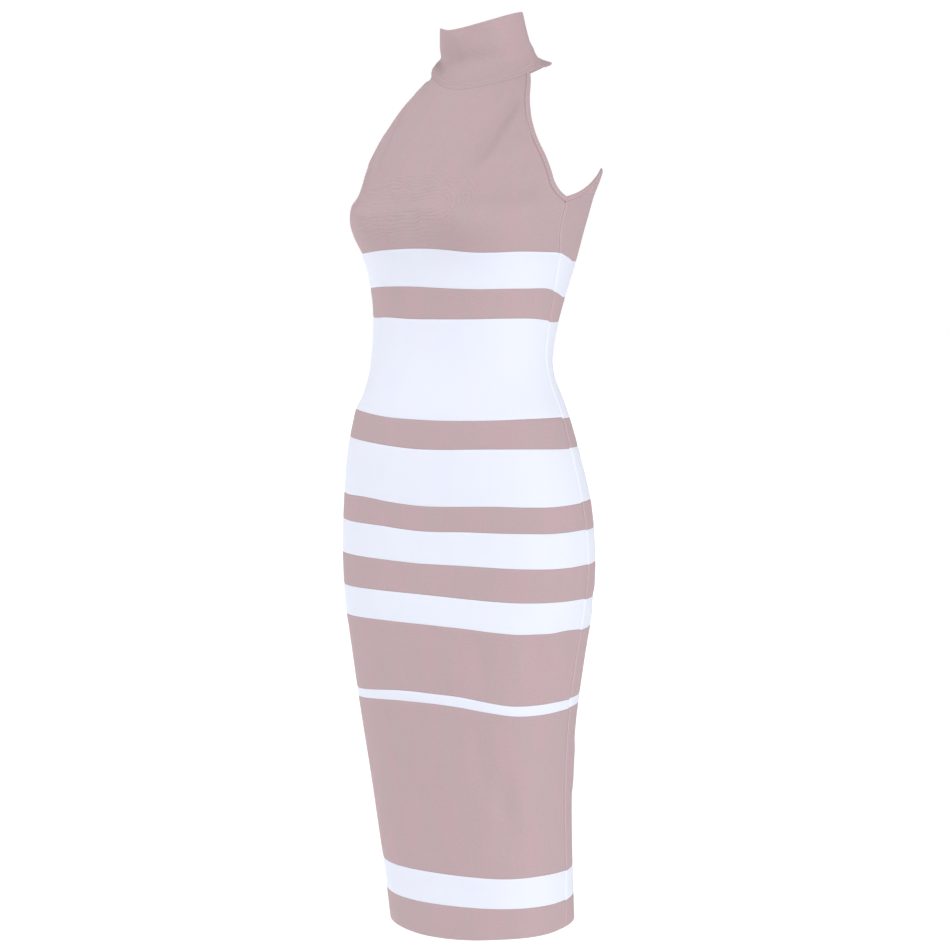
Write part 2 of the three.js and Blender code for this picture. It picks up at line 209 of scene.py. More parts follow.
WAVERS = {
    "bottom": [(-137, -1.8), (-104, -2.8), (-64, -1.3), (-42, .4), (-12, .5), (4, 1.6), (24, 2.2),
        (55, -.4), (100, .9), (150, -.8)],
    "hem": [(-150, .3), (-110, -.3), (-60, .3), (-20, -.4), (0, -1.1), (45, .6), (95, -.7), (150, .5)],
    "band_01": [(-140, -.4), (-100, .3), (-60, .3), (-36, -.6), (-15, .2), (6, -1.1), (50, .5),
        (100, -.6), (160, .5)],
    "band_02": [(-140, .6), (-112, .1), (-91, -.3), (-76, .6), (-58, 1.5), (-43, .1), (-29, -1.9),
        (-15, -.4), (-3, .9), (30, -.6), (62, .9), (95, -1.2), (130, .8), (175, -.7)],
    "band_03": [(-146, -.7), (-107, -.6), (-88, -.8), (-76, -.2), (-58, 1.6), (-44, .2), (-31, -1.6),
        (-17, .3), (-6, 1.6), (25, -.5), (60, .8), (95, -1.1), (130, .9), (170, -.4)],
    "band_04": [(-140, .5), (-97, -.7), (-83, -.3), (-70, .3), (-54, .9), (-38, -.4), (-20, -.6),
        (-7, 1.4), (7, -.5), (45, .7), (85, -.8), (125, .9), (165, -.5)],
    "band_05": [(-149, .6), (-129, .3), (-99, -.5), (-61, .4), (-51, .5), (-30, 0), (-5, .4), (40, -.6),
        (90, .7), (140, -.5)],
    "band_06": [(-145, .4), (-116, -.4), (-87, -1.3), (-74, -.5), (-57, .6), (-43, .5), (-28, -.4),
        (-12, -1), (20, .6), (60, -.7), (105, .9), (150, -.6)],
    "band_07": [(-132, .9), (-116, .8), (-101, -.4), (-87, -1.1), (-74, -.7), (-56, .9), (-43, .8),
        (-27, .1), (-15, -.8), (10, .4), (50, -.8), (95, .9), (145, -.7)],
    "band_08": [(-152, -1), (-131, .9), (-110, -.4), (-86, -1.2), (-72, -.6), (-50, 1.1), (-38, 1.3),
        (-26, -.1), (-14, -1.3), (2, -.6), (40, .8), (85, -1), (130, .9), (175, .2)],
    "band_09": [(-150, .5), (-111, -.4), (-90, -.7), (-66, .1), (-50, 1), (-36, 1.2), (-22, .6),
        (3, -1.4), (45, .7), (90, -.6), (135, .8), (175, -.3)],
    "band_10": [(-149, .7), (-126, -.6), (-108, -1), (-91, -.4), (-62, -.3), (-31, .1), (-22, .5),
        (0, .3), (50, -.8), (95, .7), (145, -.6)],
    "band_11": [(-143, -.8), (-124, .5), (-99, -.3), (-77, 0), (-51, .2), (-32, .8), (-13, .7), (10, -2),
        (40, -.4), (85, .9), (130, -.8), (175, .6)],
    "band_12": [(-142, -.8), (-122, .4), (-94, .9), (-70, -.3), (-48, -.6), (-34, .5), (-20, 1.4),
        (-5, 2.3), (6, -1.2), (17, -5.4), (50, 0), (95, -.9), (140, .8)],
    "band_13": [(-134, -1.2), (-113, .2), (-91, 1.2), (-73, .6), (-52, -2.1), (-40, -1.2), (-28, 1.1),
        (-13, 2.4), (-2, 2.8), (8, -.8), (17, -4.2), (45, -.4), (90, -.8), (140, .9)],
    "collar seam": [(-162, 5), (-145, 8), (-127, 9.6), (-116, 8.8), (-105, 6.4), (-94, 3.2), (-84, .9),
        (-74, -.1), (-60, -.3), (-35, -.7), (0, .4), (45, 1.2), (90, .4), (140, 1), (180, 3)],
    "collar top": [(-163, -1.5), (-150, 2), (-138, 3.6), (-126, 2.8), (-112, 1), (-101, .3), (-82, .1),
        (-56, .4), (-28, .2), (10, 0), (45, .6), (70, 1.2), (95, -.6), (115, -2.2), (140, -4),
        (165, -5.2), (182, -4.8)],
}


def round_the_body(pairs):
    """A smooth curve that closes on itself after a full turn, from degrees to millimetres."""
    degrees, out = [p[0] for p in pairs], [p[1] for p in pairs]
    turn_before, turn_after = [d - 360 for d in degrees[-2:]], [d + 360 for d in degrees[:2]]
    again = smooth_curve(turn_before + degrees + turn_after, out[-2:] + out + out[:2])
    first = degrees[0]
    return lambda angle: again((np.degrees(angle) - first) % 360 + first)


def tilted(four, angle):
    """An edge's height at an angle, smooth all round through its heights on four sides."""
    front, left, back, right = four
    return ((front + left + back + right) / 4 + (left - right) / 2 * np.cos(angle)
            + (back - front) / 2 * np.sin(angle) + (left + right - front - back) / 4 * np.cos(2 * angle))


waver = {name: round_the_body(pairs) for name, pairs in WAVERS.items()}


def strip_edge(number, angle, behind):
    """The height of a strip's upper edge; number -1 is the hem's lower edge.
    behind is true for the back pieces."""
    if number < 0:
        return tilted(HEM_LINE, angle) + waver["bottom"](angle)
    name, _, front, left, back, right, step = STRIPS[number]
    edge = tilted((front, left, back, right), angle) + waver[name](angle)
    if behind:
        edge = edge + step * (1 - ease(behind_side(angle), -5, 45))
    return edge


def collar_seam(angle):
    return tilted(COLLAR_SEAM, angle) + waver["collar seam"](angle)


print("strips:", len(STRIPS), "wavering edges:", len(WAVERS))

# %% [markdown]
# ## Creases
#
# Cloth that is stretched smooth still has a few folds: where the halter pulls from the collar to
# the armhole, under the bust, in the hollow of the back, and in long soft pleats over the thighs.
# Each is given as a curve of three places on the body, with a width and a depth in
# millimetres, below nothing for a trough. A simulation would need the real cut and stretch to
# put them where the photograph has them, so soft troughs and ridges, listed one by one, are the truer way.

# %% The main creases, as places and depths
# degrees and height three times (start, middle, end), width, out
CREASES = [
    # the halter's pull, from the collar seam to the armhole, on both sides
    (-30, 1018, -45, 968, -62, 898, 10.5, -6.2), (-24, 986, -32, 949, -44, 906, 8, 2.6),
    (-72, 985, -74, 940, -66, 900, 14, -2), (-58, 1012, -66, 984, -78, 950, 9, .9),
    (-40, 930, -48, 905, -60, 884, 9, -1.4), (-150, 1012, -136, 962, -120, 905, 8, -2.6),
    (-153, 975, -145, 946, -134, 912, 7, 1.4),
    # soft hollows on and under the bust
    (-20, 910, -30, 888, -40, 868, 10, -1.6), (-26, 868, -37, 858, -50, 852, 12, 1.6),
    (-91, 905, -90, 880, -91, 850, 13, -1.2), (-150, 902, -147, 886, -140, 868, 9, -.7),
    # the collar's foot: a bulge and a sharp fold over it at the wearer's right, soft rolls elsewhere
    (-168, 1050, -147, 1045, -124, 1036, 7, 5.5), (-152, 1056, -130, 1047, -106, 1036, 4.5, -2.4),
    (-128, 1056, -108, 1049, -86, 1038, 6, .8), (-96, 1048, -80, 1043, -62, 1034, 4.5, -.5),
    (-60, 1040, -40, 1046, -10, 1052, 6, -1.0), (-58, 1094, -50, 1066, -40, 1038, 9, -.6),
    (-90, 1098, -85, 1066, -80, 1030, 10.5, 3.4), (8, 1060, 30, 1056, 56, 1056, 6, 1.8),
    (6, 1040, 32, 1043, 60, 1043, 5, -3.2), (96, 1050, 120, 1046, 146, 1048, 6, -1.4),
    (120, 1088, 124, 1068, 130, 1050, 9, 1.0),
    # where the worn outline fills out or draws in
    (-146, 1032, -146, 1022, -148, 1006, 10, 2.4), (-148, 1020, -151, 985, -153, 945, 20, 1.3),
    (-157, 972, -155, 942, -154, 914, 16, 1.0), (-154, 930, -152, 902, -150, 876, 14, -2),
    (-148, 884, -144, 870, -142, 850, 12, -1), (-150, 836, -148, 822, -146, 812, 9, -2.2),
    (-160, 694, -159, 656, -158, 634, 14, -2), (20, 700, 20, 678, 22, 650, 14, -1.4),
    (18, 420, 19, 404, 20, 388, 11, -1.2),
    # long soft pleats over the thighs, in front
    (-49, 380, -48, 345, -46, 302, 13, -2.7), (-32, 400, -31, 352, -29, 305, 13, 2.4),
    (-22, 382, -22, 355, -20, 318, 11, -1.7), (-14, 386, -14, 360, -13, 326, 11, 1.7),
    (-66, 372, -65, 340, -66, 300, 14, 1.7), (-84, 360, -86, 330, -86, 300, 15, -1.9),
    (-118, 376, -120, 345, -121, 305, 13, .8), (-136, 385, -136, 350, -138, 310, 12, -.8),
    (-48, 280, -47, 222, -44, 158, 13.5, -2.5), (-45, 206, -44, 177, -43, 140, 13, 1.9),
    (-35, 226, -34, 158, -33, 96, 12, -2.2), (-26, 222, -26, 189, -24, 148, 12, 1.9),
    (-18, 204, -17, 175, -17, 138, 11, -1.5), (-11, 228, -12, 198, -10, 160, 11, 1.5),
    (-74, 250, -75, 205, -73, 160, 15, 1.7), (-97, 235, -98, 190, -96, 150, 15, -1.9),
    (-122, 255, -123, 205, -122, 165, 13, .8), (-142, 230, -141, 190, -143, 150, 12, -.8),
    # the same behind
    (28, 385, 29, 350, 30, 312, 12, -2.4), (48, 392, 47, 350, 48, 304, 14, 1.9),
    (72, 370, 73, 335, 71, 305, 14, -2.4), (112, 380, 111, 345, 113, 308, 14, 2.4),
    (138, 376, 139, 345, 138, 310, 12, -2.4), (24, 240, 25, 200, 25, 158, 13, 1.9),
    (46, 255, 47, 205, 46, 150, 14, -2.7), (80, 230, 80, 185, 82, 140, 15, 1.9),
    (108, 250, 109, 205, 108, 160, 14, -2.4), (136, 236, 135, 195, 137, 152, 13, 1.9),
    (160, 225, 161, 190, 160, 155, 12, -1.5),
    # the hollow of the back, where the cloth gathers crosswise
    (48, 676, 88, 668, 130, 678, 8, -1.4), (60, 697, 92, 702, 118, 696, 7, -1.1),
    (52, 716, 84, 722, 108, 717, 7, .7), (70, 650, 96, 645, 128, 652, 8, .8),
    (22, 706, 40, 696, 62, 688, 8, -.8), (158, 708, 142, 698, 122, 690, 8, -.9),
    # under the arms, from the side seam up to the bust
    (8, 842, -10, 852, -30, 850, 9, -.6), (188, 842, 204, 852, 222, 852, 9, -.7),
    (22, 866, 12, 850, 4, 832, 8, .5),
]

BENDS = 12   # straight bits that each crease's curve is measured with


def crease_relief(angle, at):
    """How far the creases lift or sink the cloth, in millimetres, at each place."""
    out = np.zeros(np.shape(angle))
    for a0, z0, a1, z1, a2, z2, wide, lift in CREASES:
        reach = float(half_at(z1)) * 0.92   # millimetres of cloth to a radian there
        turned = (np.degrees(angle) - a1 + 180) % 360 - 180
        flat = np.stack([np.radians(turned) * reach, at - z1], -1)
        start, end = ((radians(a - a1) * reach, z - z1) for a, z in ((a0, z0), (a2, z2)))
        far = max(np.hypot(*start), np.hypot(*end)) + 3 * wide
        near = np.hypot(flat[..., 0], flat[..., 1]) < far
        here = flat[near]
        best, along = np.full(len(here), 1e9), np.zeros(len(here))
        steps = np.linspace(0, 1, BENDS + 1)
        line = np.outer((1 - steps) * (1 - 2 * steps), start) + np.outer(steps * (2 * steps - 1), end)
        for k in range(BENDS):
            way = line[k + 1] - line[k]
            t = np.clip((here - line[k]) @ way / (way @ way), 0, 1)
            gap = np.linalg.norm(here - line[k] - t[:, None] * way, axis=1)
            closer = gap < best
            best[closer], along[closer] = gap[closer], (k + t[closer]) / BENDS
        fade = ease(along, 0, .3) * ease(1 - along, 0, .3)
        out[near] += lift * np.exp(-(best / wide) ** 2) * fade
    return out


print("creases:", len(CREASES))

# %% [markdown]
# Finer still are the ripples beside the bust, where the knit is pulled sideways: many faint lines
# about 5 mm apart that run level and then curl round the fullest place, like the grain of wood.
# They are too fine for the mesh. Each place of the bodice therefore carries its distance from a
# given line, and the material raises a ripple at every fifth millimetre of that distance.

# %% The line that the fine ripples follow
RIPPLES_FROM, RIPPLES_TO = (-122, 868), (-69, 877)   # degrees and height of the line's ends
RIPPLES_REACH, RIPPLES_STRONG = 42, .85   # about how far they spread, in millimetres, and their strength
BUST_ROUND = 2.35   # millimetres of cloth to a degree there


def ripple_field(angle, at):
    """Distance from the ripple line in millimetres, and the ripples' strength there."""
    flat = np.stack([(np.degrees(angle) - RIPPLES_FROM[0]) * BUST_ROUND, at - RIPPLES_FROM[1]], -1)
    way = np.array([(RIPPLES_TO[0] - RIPPLES_FROM[0]) * BUST_ROUND, RIPPLES_TO[1] - RIPPLES_FROM[1]])
    t = np.clip(flat @ way / (way @ way), 0, 1)
    gap = np.linalg.norm((flat - t[..., None] * way) * (1, 1.15), axis=-1)
    fading = 1 - ease(gap, .45 * RIPPLES_REACH, 1.6 * RIPPLES_REACH)
    return gap, RIPPLES_STRONG * ease(gap, 2, 10) * fading


print("ripples from", RIPPLES_FROM, "to", RIPPLES_TO)

# %% [markdown]
# ## Materials
#
# The cloth is a dense, matt, fine-ribbed stretch knit. Seen close, each stitch is a small V of
# yarn, and the Vs stand in columns about 0.9 mm apart. One shader node group draws them from the
# cloth's own UV map, which is measured in metres of cloth, so the stitches have the same size on
# every piece and follow its shape. The group also gives the faint cloudiness of dyed yarn, and it
# paints shade: in the grooves between the ribs, along the fine ripples, and in a line where the cloth
# turns down into a seam, from an attribute that each piece carries: its distance from the nearest
# seam. On the white that seam line is a painted highlight, and a painted highlight also runs beside
# each side seam. The shader itself stays in each material.

# %% Helpers that join shader nodes
def put(tree, value, socket):
    """Sets a socket to a number, or links another node's output to it."""
    if isinstance(value, (int, float)):
        socket.default_value = value
    else:
        tree.links.new(value, socket)


def calc(tree, operation, *values):
    """A Math node on these numbers or outputs; gives back its own output."""
    node = tree.nodes.new("ShaderNodeMath")
    node.operation = operation
    for value, socket in zip(values, node.inputs):
        put(tree, value, socket)
    return node.outputs[0]


def map_range(tree, value, start, end, low=0.0, high=1.0, smooth=False):
    """A Map Range node that takes start to low and end to high; gives back its own output."""
    node = tree.nodes.new("ShaderNodeMapRange")
    if smooth:
        node.interpolation_type = "SMOOTHSTEP"
    sockets = ("Value", "From Min", "From Max", "To Min", "To Max")
    for name, amount in zip(sockets, (value, start, end, low, high)):
        put(tree, amount, node.inputs[name])
    return node.outputs[0]


# %% A node group for the fine knit: its sockets and its stitches
GREY = (.5, .5, .5, 1)
knit = bpy.data.node_groups.new("fine_knit", "ShaderNodeTree")
for socket_name, value in (
        ("Yarn", GREY), ("Faded Yarn", GREY), ("Cloudiness", .04), ("Groove Shade", .9), ("Seam Shade And Highlight", .8),
        ("Side Seam Highlight", .1), ("Wale", .0009), ("Course", .0011)):
    kind = "NodeSocketColor" if value is GREY else "NodeSocketFloat"
    knit.interface.new_socket(socket_name, in_out="INPUT", socket_type=kind).default_value = value
for socket_name, kind in (("Colour", "Color"), ("Roughness", "Float"), ("Height", "Float")):
    knit.interface.new_socket(socket_name, in_out="OUTPUT", socket_type="NodeSocket" + kind)

given, made = knit.nodes.new("NodeGroupInput").outputs, knit.nodes.new("NodeGroupOutput").inputs
cloth_uv = knit.nodes.new("ShaderNodeUVMap")
cloth_uv.uv_map = "cloth"
round_and_up = knit.nodes.new("ShaderNodeSeparateXYZ")
knit.links.new(cloth_uv.outputs[0], round_and_up.inputs[0])
wales = calc(knit, "DIVIDE", round_and_up.outputs[0], given["Wale"])
courses = calc(knit, "DIVIDE", round_and_up.outputs[1], given["Course"])
from_middle = calc(knit, "ABSOLUTE", calc(knit, "MULTIPLY_ADD", calc(knit, "FRACT", wales), 2.0, -1.0))
v_shape = calc(knit, "MULTIPLY_ADD", from_middle, 0.45, courses)
stitch = calc(knit, "SINE", calc(knit, "MULTIPLY", v_shape, 2 * pi))
rib = calc(knit, "SUBTRACT", 1.0, calc(knit, "POWER", from_middle, 3.0))
stitches = calc(knit, "MULTIPLY_ADD", stitch, 0.03, calc(knit, "MULTIPLY", rib, 0.12))
print("the knit takes", [socket.name for socket in given if socket.name])


# %% The ripples, in the knit's height
def mark_of_cloth(name):
    attribute = knit.nodes.new("ShaderNodeAttribute")
    attribute.attribute_name = name
    return attribute.outputs["Fac"]


def noise_of_cloth(per_metre, detail, upright=1.0):
    """Soft noise on the cloth; upright below 1 draws its spots out upwards."""
    stretched = knit.nodes.new("ShaderNodeVectorMath")
    stretched.operation = "MULTIPLY"
    stretched.inputs[1].default_value = (1, upright, 1)
    knit.links.new(cloth_uv.outputs[0], stretched.inputs[0])
    noise = knit.nodes.new("ShaderNodeTexNoise")
    noise.inputs["Scale"].default_value, noise.inputs["Detail"].default_value = per_metre, detail
    knit.links.new(stretched.outputs[0], noise.inputs["Vector"])
    return noise.outputs["Fac"]


RIPPLE_EVERY, RIPPLE_HIGH = 5, 0.3   # millimetres
uneven = calc(knit, "MULTIPLY", noise_of_cloth(38, 2), 16.0)
turns = calc(knit, "MULTIPLY_ADD", mark_of_cloth("ripple_mm"), 2 * pi / RIPPLE_EVERY, uneven)
rippled = calc(knit, "MULTIPLY", calc(knit, "SINE", turns), mark_of_cloth("ripple_strength"))
come_and_go = map_range(knit, noise_of_cloth(70, 1), 0.3, 0.5)
rippled = calc(knit, "MULTIPLY", rippled, come_and_go)
knit.links.new(calc(knit, "MULTIPLY_ADD", rippled, RIPPLE_HIGH, stitches), made["Height"])
print("a ripple every", RIPPLE_EVERY, "mm,", RIPPLE_HIGH, "mm high")

# %% The knit's colour and roughness
dye_cloud_and_ripple_shade = calc(knit, "SUBTRACT", noise_of_cloth(420, 3), 0.5)
dye_cloud_and_ripple_shade = calc(knit, "MULTIPLY_ADD", dye_cloud_and_ripple_shade, given["Cloudiness"], 1.0)
# painted shade along the fine ripples: the colour lightens and darkens with them
dye_cloud_and_ripple_shade = calc(knit, "MULTIPLY_ADD", rippled, 0.028, dye_cloud_and_ripple_shade)
# painted shade in the grooves between the knit's ribs: they are darker by the Groove Shade factor
groove = map_range(knit, rib, 0.0, 1.0, given["Groove Shade"], 1.0)
# painted shade along each seam, strongest within about a millimetre of it; where the factor is above one,
# as on the white, it is a painted highlight
seam_line = map_range(knit, mark_of_cloth("seam_mm"), 0.1, 1.1, given["Seam Shade And Highlight"], 1.0, smooth=True)
# a painted highlight: a lighter line 1.7 mm beside each side seam
from_side_highlight = calc(knit, "DIVIDE", calc(knit, "SUBTRACT", mark_of_cloth("side_mm"), 1.7), 0.75)
squared = calc(knit, "MULTIPLY", from_side_highlight, from_side_highlight)
side_highlight_line = calc(knit, "POWER", 2.718, calc(knit, "MULTIPLY", squared, -1.0))
painted_side_highlight = calc(knit, "MULTIPLY_ADD", side_highlight_line, given["Side Seam Highlight"], 1.0)
shade = calc(knit, "MULTIPLY", calc(knit, "MULTIPLY", dye_cloud_and_ripple_shade, groove), seam_line)
shade = calc(knit, "MULTIPLY", shade, painted_side_highlight)

yarn = knit.nodes.new("ShaderNodeMix")
yarn.data_type = "RGBA"
knit.links.new(map_range(knit, noise_of_cloth(36, 2, .3), 0.38, 0.62, smooth=True), yarn.inputs["Factor"])
knit.links.new(given["Yarn"], yarn.inputs[6])
knit.links.new(given["Faded Yarn"], yarn.inputs[7])
shaded = knit.nodes.new("ShaderNodeVectorMath")
shaded.operation = "SCALE"
knit.links.new(yarn.outputs[2], shaded.inputs[0])
knit.links.new(shade, shaded.inputs["Scale"])
knit.links.new(shaded.outputs[0], made["Colour"])
knit.links.new(calc(knit, "MULTIPLY_ADD", rib, -0.08, 0.92), made["Roughness"])
print("knit group nodes:", len(knit.nodes))


# %% The pink and the white knit
def knit_material(name, sheen, values):
    """values are the group's inputs by name."""
    material = bpy.data.materials.new(name)
    material.use_nodes = True
    tree = material.node_tree
    shader = tree.nodes["Principled BSDF"]
    group = tree.nodes.new("ShaderNodeGroup")
    group.node_tree = knit
    for socket_name, value in values.items():
        group.inputs[socket_name].default_value = value
    bump = tree.nodes.new("ShaderNodeBump")
    bump.inputs["Strength"].default_value = 1.0
    bump.inputs["Distance"].default_value = 0.001   # the group's height is in millimetres
    for start, end in ((group.outputs["Colour"], shader.inputs["Base Color"]),
                       (group.outputs["Roughness"], shader.inputs["Roughness"]),
                       (group.outputs["Height"], bump.inputs["Height"]),
                       (bump.outputs["Normal"], shader.inputs["Normal"])):
        tree.links.new(start, end)
    shader.inputs["Specular IOR Level"].default_value = 0.25
    shader.inputs["Sheen Weight"].default_value = sheen
    shader.inputs["Sheen Roughness"].default_value = 0.5
    return material


cloths = {
    "mauve": knit_material("pink_stretch_knit", .06, {
        "Yarn": (.494, .360, .384, 1), "Faded Yarn": (.474, .362, .376, 1), "Cloudiness": .15,
        "Groove Shade": .93, "Seam Shade And Highlight": .78, "Side Seam Highlight": .17}),
    "white": knit_material("white_stretch_knit", .05, {
        "Yarn": (.755, .785, .89, 1), "Faded Yarn": (.765, .79, .885, 1), "Cloudiness": .02,
        "Groove Shade": .98, "Seam Shade And Highlight": 1.05, "Side Seam Highlight": .07}),
}
print("knits:", [m.name for m in cloths.values()])

# %% [markdown]
# ## How a piece of cloth is made
#
# Every piece is a grid of places on the form, some 3 mm apart and closer near its edges. The grid
# gets an inner side one cloth thickness below, and its borders are closed. A sewn edge turns down
# into its seam, as both cloths do when the seam allowance is pressed inwards, so two neighbours
# make a narrow groove. A folded edge, such as the hem's, is rounded over instead.

# %% Rows and columns that crowd near the edges
EDGE_STEPS = (0, .6, 1.2, 2.0, 3.2, 5.2)     # millimetres from a seam
SEAM_DIP, SEAM_WIDE = 0.45, 1.1              # how deep and how wide the cloth turns down there


def crowded(length, step):
    """Distances from 0 to length, close together at both ends and a step apart between."""
    ends = np.array(EDGE_STEPS)
    count = max(2, round((length - 2 * ends[-1]) / step) + 1)
    inside = np.linspace(ends[-1], length - ends[-1], count)
    return np.concatenate([ends[:-1], inside, (length - ends[:-1])[::-1]])


def turn_down(*distances):
    """How far the cloth sinks beside its seams, from the distance to each."""
    return -SEAM_DIP * sum(np.exp(-(np.maximum(d, 0) / SEAM_WIDE) ** 2) for d in distances)


print("rows of a 40 mm strip:", len(crowded(40, 4)))


# %% The loop of rows round a cloth wall
NO_SEAM = 99.0   # millimetres, where none is near
# numbers that each place carries for the material, and their usual values
MARKS = {"seam_mm": NO_SEAM, "side_mm": NO_SEAM, "ripple_mm": NO_SEAM, "ripple_strength": 0.0}
RIM_TURNS = (pi / 4, pi / 2, 3 * pi / 4)   # how far round a fold its rows of cloth lie


def rounded_rim(outer, outward, thick, edge, beyond):
    """Three rows that round a folded border over from the outer to the inner side."""
    along = outer[edge] - outer[beyond]
    along /= np.linalg.norm(along, axis=1, keepdims=True)
    return [outer[edge] - outward[edge] * thick / 2 * (1 - cos(turn)) + along * thick / 2 * sin(turn)
            for turn in RIM_TURNS]


def loop_of_rows(outer, outward, thick, folded):
    """All rows, up the outer side and down the inner one, and the grid row that each comes from."""
    rows = len(outer)
    above = rounded_rim(outer, outward, thick, -1, -2) if "last" in folded else []
    below = rounded_rim(outer, outward, thick, 0, 1)[::-1] if "first" in folded else []
    inner = outer - outward * thick
    source = [*range(rows), *[rows - 1] * len(above), *reversed(range(rows)), *[0] * len(below)]
    return np.array([*outer, *above, *inner[::-1], *below]), source


def loop_faces(loop_rows, columns, rows, folded, closed):
    """Faces as lists of (row, column): round the loop, then both ends of a wall that isn't closed."""
    faces = [[(r, c), (r, c + 1), ((r + 1) % loop_rows, c + 1), ((r + 1) % loop_rows, c)]
             for r in range(loop_rows) for c in range(columns - 1)]
    rim = len(RIM_TURNS) if "last" in folded else 0
    for c in () if closed else (0, columns - 1):
        ends = []
        for r in range(rows - 1):
            opposite = 2 * rows - 1 + rim - r
            ends.append([(r, c), (opposite, c), (opposite - 1, c), (r + 1, c)])
            if r == rows - 2 and rim:
                ends.append([(k, c) for k in reversed(range(rows - 1, rows + rim + 1))])
            if r == 0 and "first" in folded:
                ends.append([(0, c)] + [(loop_rows - k, c) for k in range(1, len(RIM_TURNS) + 2)])
        faces += ends if c else [face[::-1] for face in ends]
    return faces


print("rows of cloth at a rounded rim:", len(RIM_TURNS))


# %% A cloth wall over a grid of places
def add_piece(name, corners, faces, material):
    """A smooth object from corners in the tables' millimetres."""
    mesh = bpy.data.meshes.new(name)
    metres = (np.array(corners) - (0, NECK_BACK, NECK_AT)) / 1000
    mesh.from_pydata(metres.tolist(), [], faces)
    mesh.polygons.foreach_set("use_smooth", [True] * len(mesh.polygons))
    mesh.materials.append(material)
    mesh.update()
    piece = bpy.data.objects.new(name, mesh)
    bpy.context.scene.collection.objects.link(piece)
    return piece


def cloth_wall(name, knit_name, angle, at, out, thick, folded=(), closed=False, base=0.0, **marks):
    """angle and at hold rows by columns of places; out says how far each stands off the form.
    folded names the borders that round over: first, last. closed joins the last column to the first.
    marks are numbers that every place carries for the material."""
    outward = form_outward(angle, at)
    outer = form_point(angle, at) + outward * (out + base)[..., None]
    corners, source = loop_of_rows(outer, outward, thick, folded)
    steps = np.linalg.norm(np.diff(outer, axis=1), axis=2)
    round_it = np.concatenate([np.zeros((len(angle), 1)), np.cumsum(steps, axis=1)], axis=1)
    round_it = round_it - round_it[:, round_it.shape[1] // 2][:, None]
    uvs = np.stack([round_it, at], -1)[source] / 1000

    rows, columns = at.shape
    faces = loop_faces(len(corners), columns, rows, folded, closed)
    r, c = rows // 2, (columns - 1) // 2
    round_step, up_step = corners[r, c + 1] - corners[r, c], corners[r + 1, c] - corners[r, c]
    if np.cross(round_step, up_step) @ outward[r, c] < 0:   # turn the faces to look outwards
        faces = [face[::-1] for face in faces]
    kept = columns - 1 if closed else columns
    piece = add_piece(name, corners[:, :kept].reshape(-1, 3),
                      [[r * kept + c % kept for r, c in face] for face in faces], cloths[knit_name])

    r, c = np.array([place for face in faces for place in face]).T
    uv_layer = piece.data.uv_layers.new(name="cloth")
    uv_layer.data.foreach_set("uv", uvs[r, c].ravel().astype(np.float32))
    for mark, usual in MARKS.items():
        values = np.broadcast_to(marks.get(mark, usual), at.shape)[source][:, :kept]
        attribute = piece.data.attributes.new(mark, "FLOAT", "POINT")
        attribute.data.foreach_set("value", values.ravel().astype(np.float32))
    piece.data.set_sharp_from_angle(angle=radians(55))
    return piece


pieces = {}   # CAD node: the piece of cloth that takes its place
print("marks of the cloth:", list(MARKS))

# %% [markdown]
# ## The strips
#
# There are fourteen strips and each is cut twice, for the front and for the back, so that the
# side seams can be sewn. The lowest is the hem: its cloth is turned up inside, so it is thicker
# and has a rounded lower edge. Under each seam the pressed allowance can be felt: a faint step
# about 10 mm below it.

# %% Lay the fourteen strips round the front and the back
CLOTH, HEM_CLOTH = 1.3, 2.2   # millimetres thick
ALLOWANCE = 10     # millimetres of cloth pressed down behind each seam
OVERLAP = 0.1      # neighbours run this far into one another, so that no light comes through
SEAM_STEP, SIDE_STEP = 0.25, 0.3   # how far the pressed allowance lifts the cloth
STRETCH = 0.9      # the knit is cut this share of its worn width


def side_angle(at):
    return np.arctan2(seam_at(at), half_at(at))


def columns_between(start, end, at, count=150):
    """Angles from one side seam to the other at a height, crowded at both."""
    reach = float(half_at(at))
    near = np.array(EDGE_STEPS) / reach
    inside = np.linspace(start + near[-1], end - near[-1], count - 2 * len(near) + 2)
    return np.concatenate([start + near[:-1], inside, (end - near[:-1])[::-1]])


def side_to_side(at, behind):
    left = float(side_angle(at))
    return columns_between(left, pi - left, at) if behind else columns_between(-pi - left, left, at)


def from_ends(angle, reach):
    """Millimetres from each place to the nearer end of its row."""
    return np.minimum(angle - angle[:, :1], angle[:, -1:] - angle) * reach


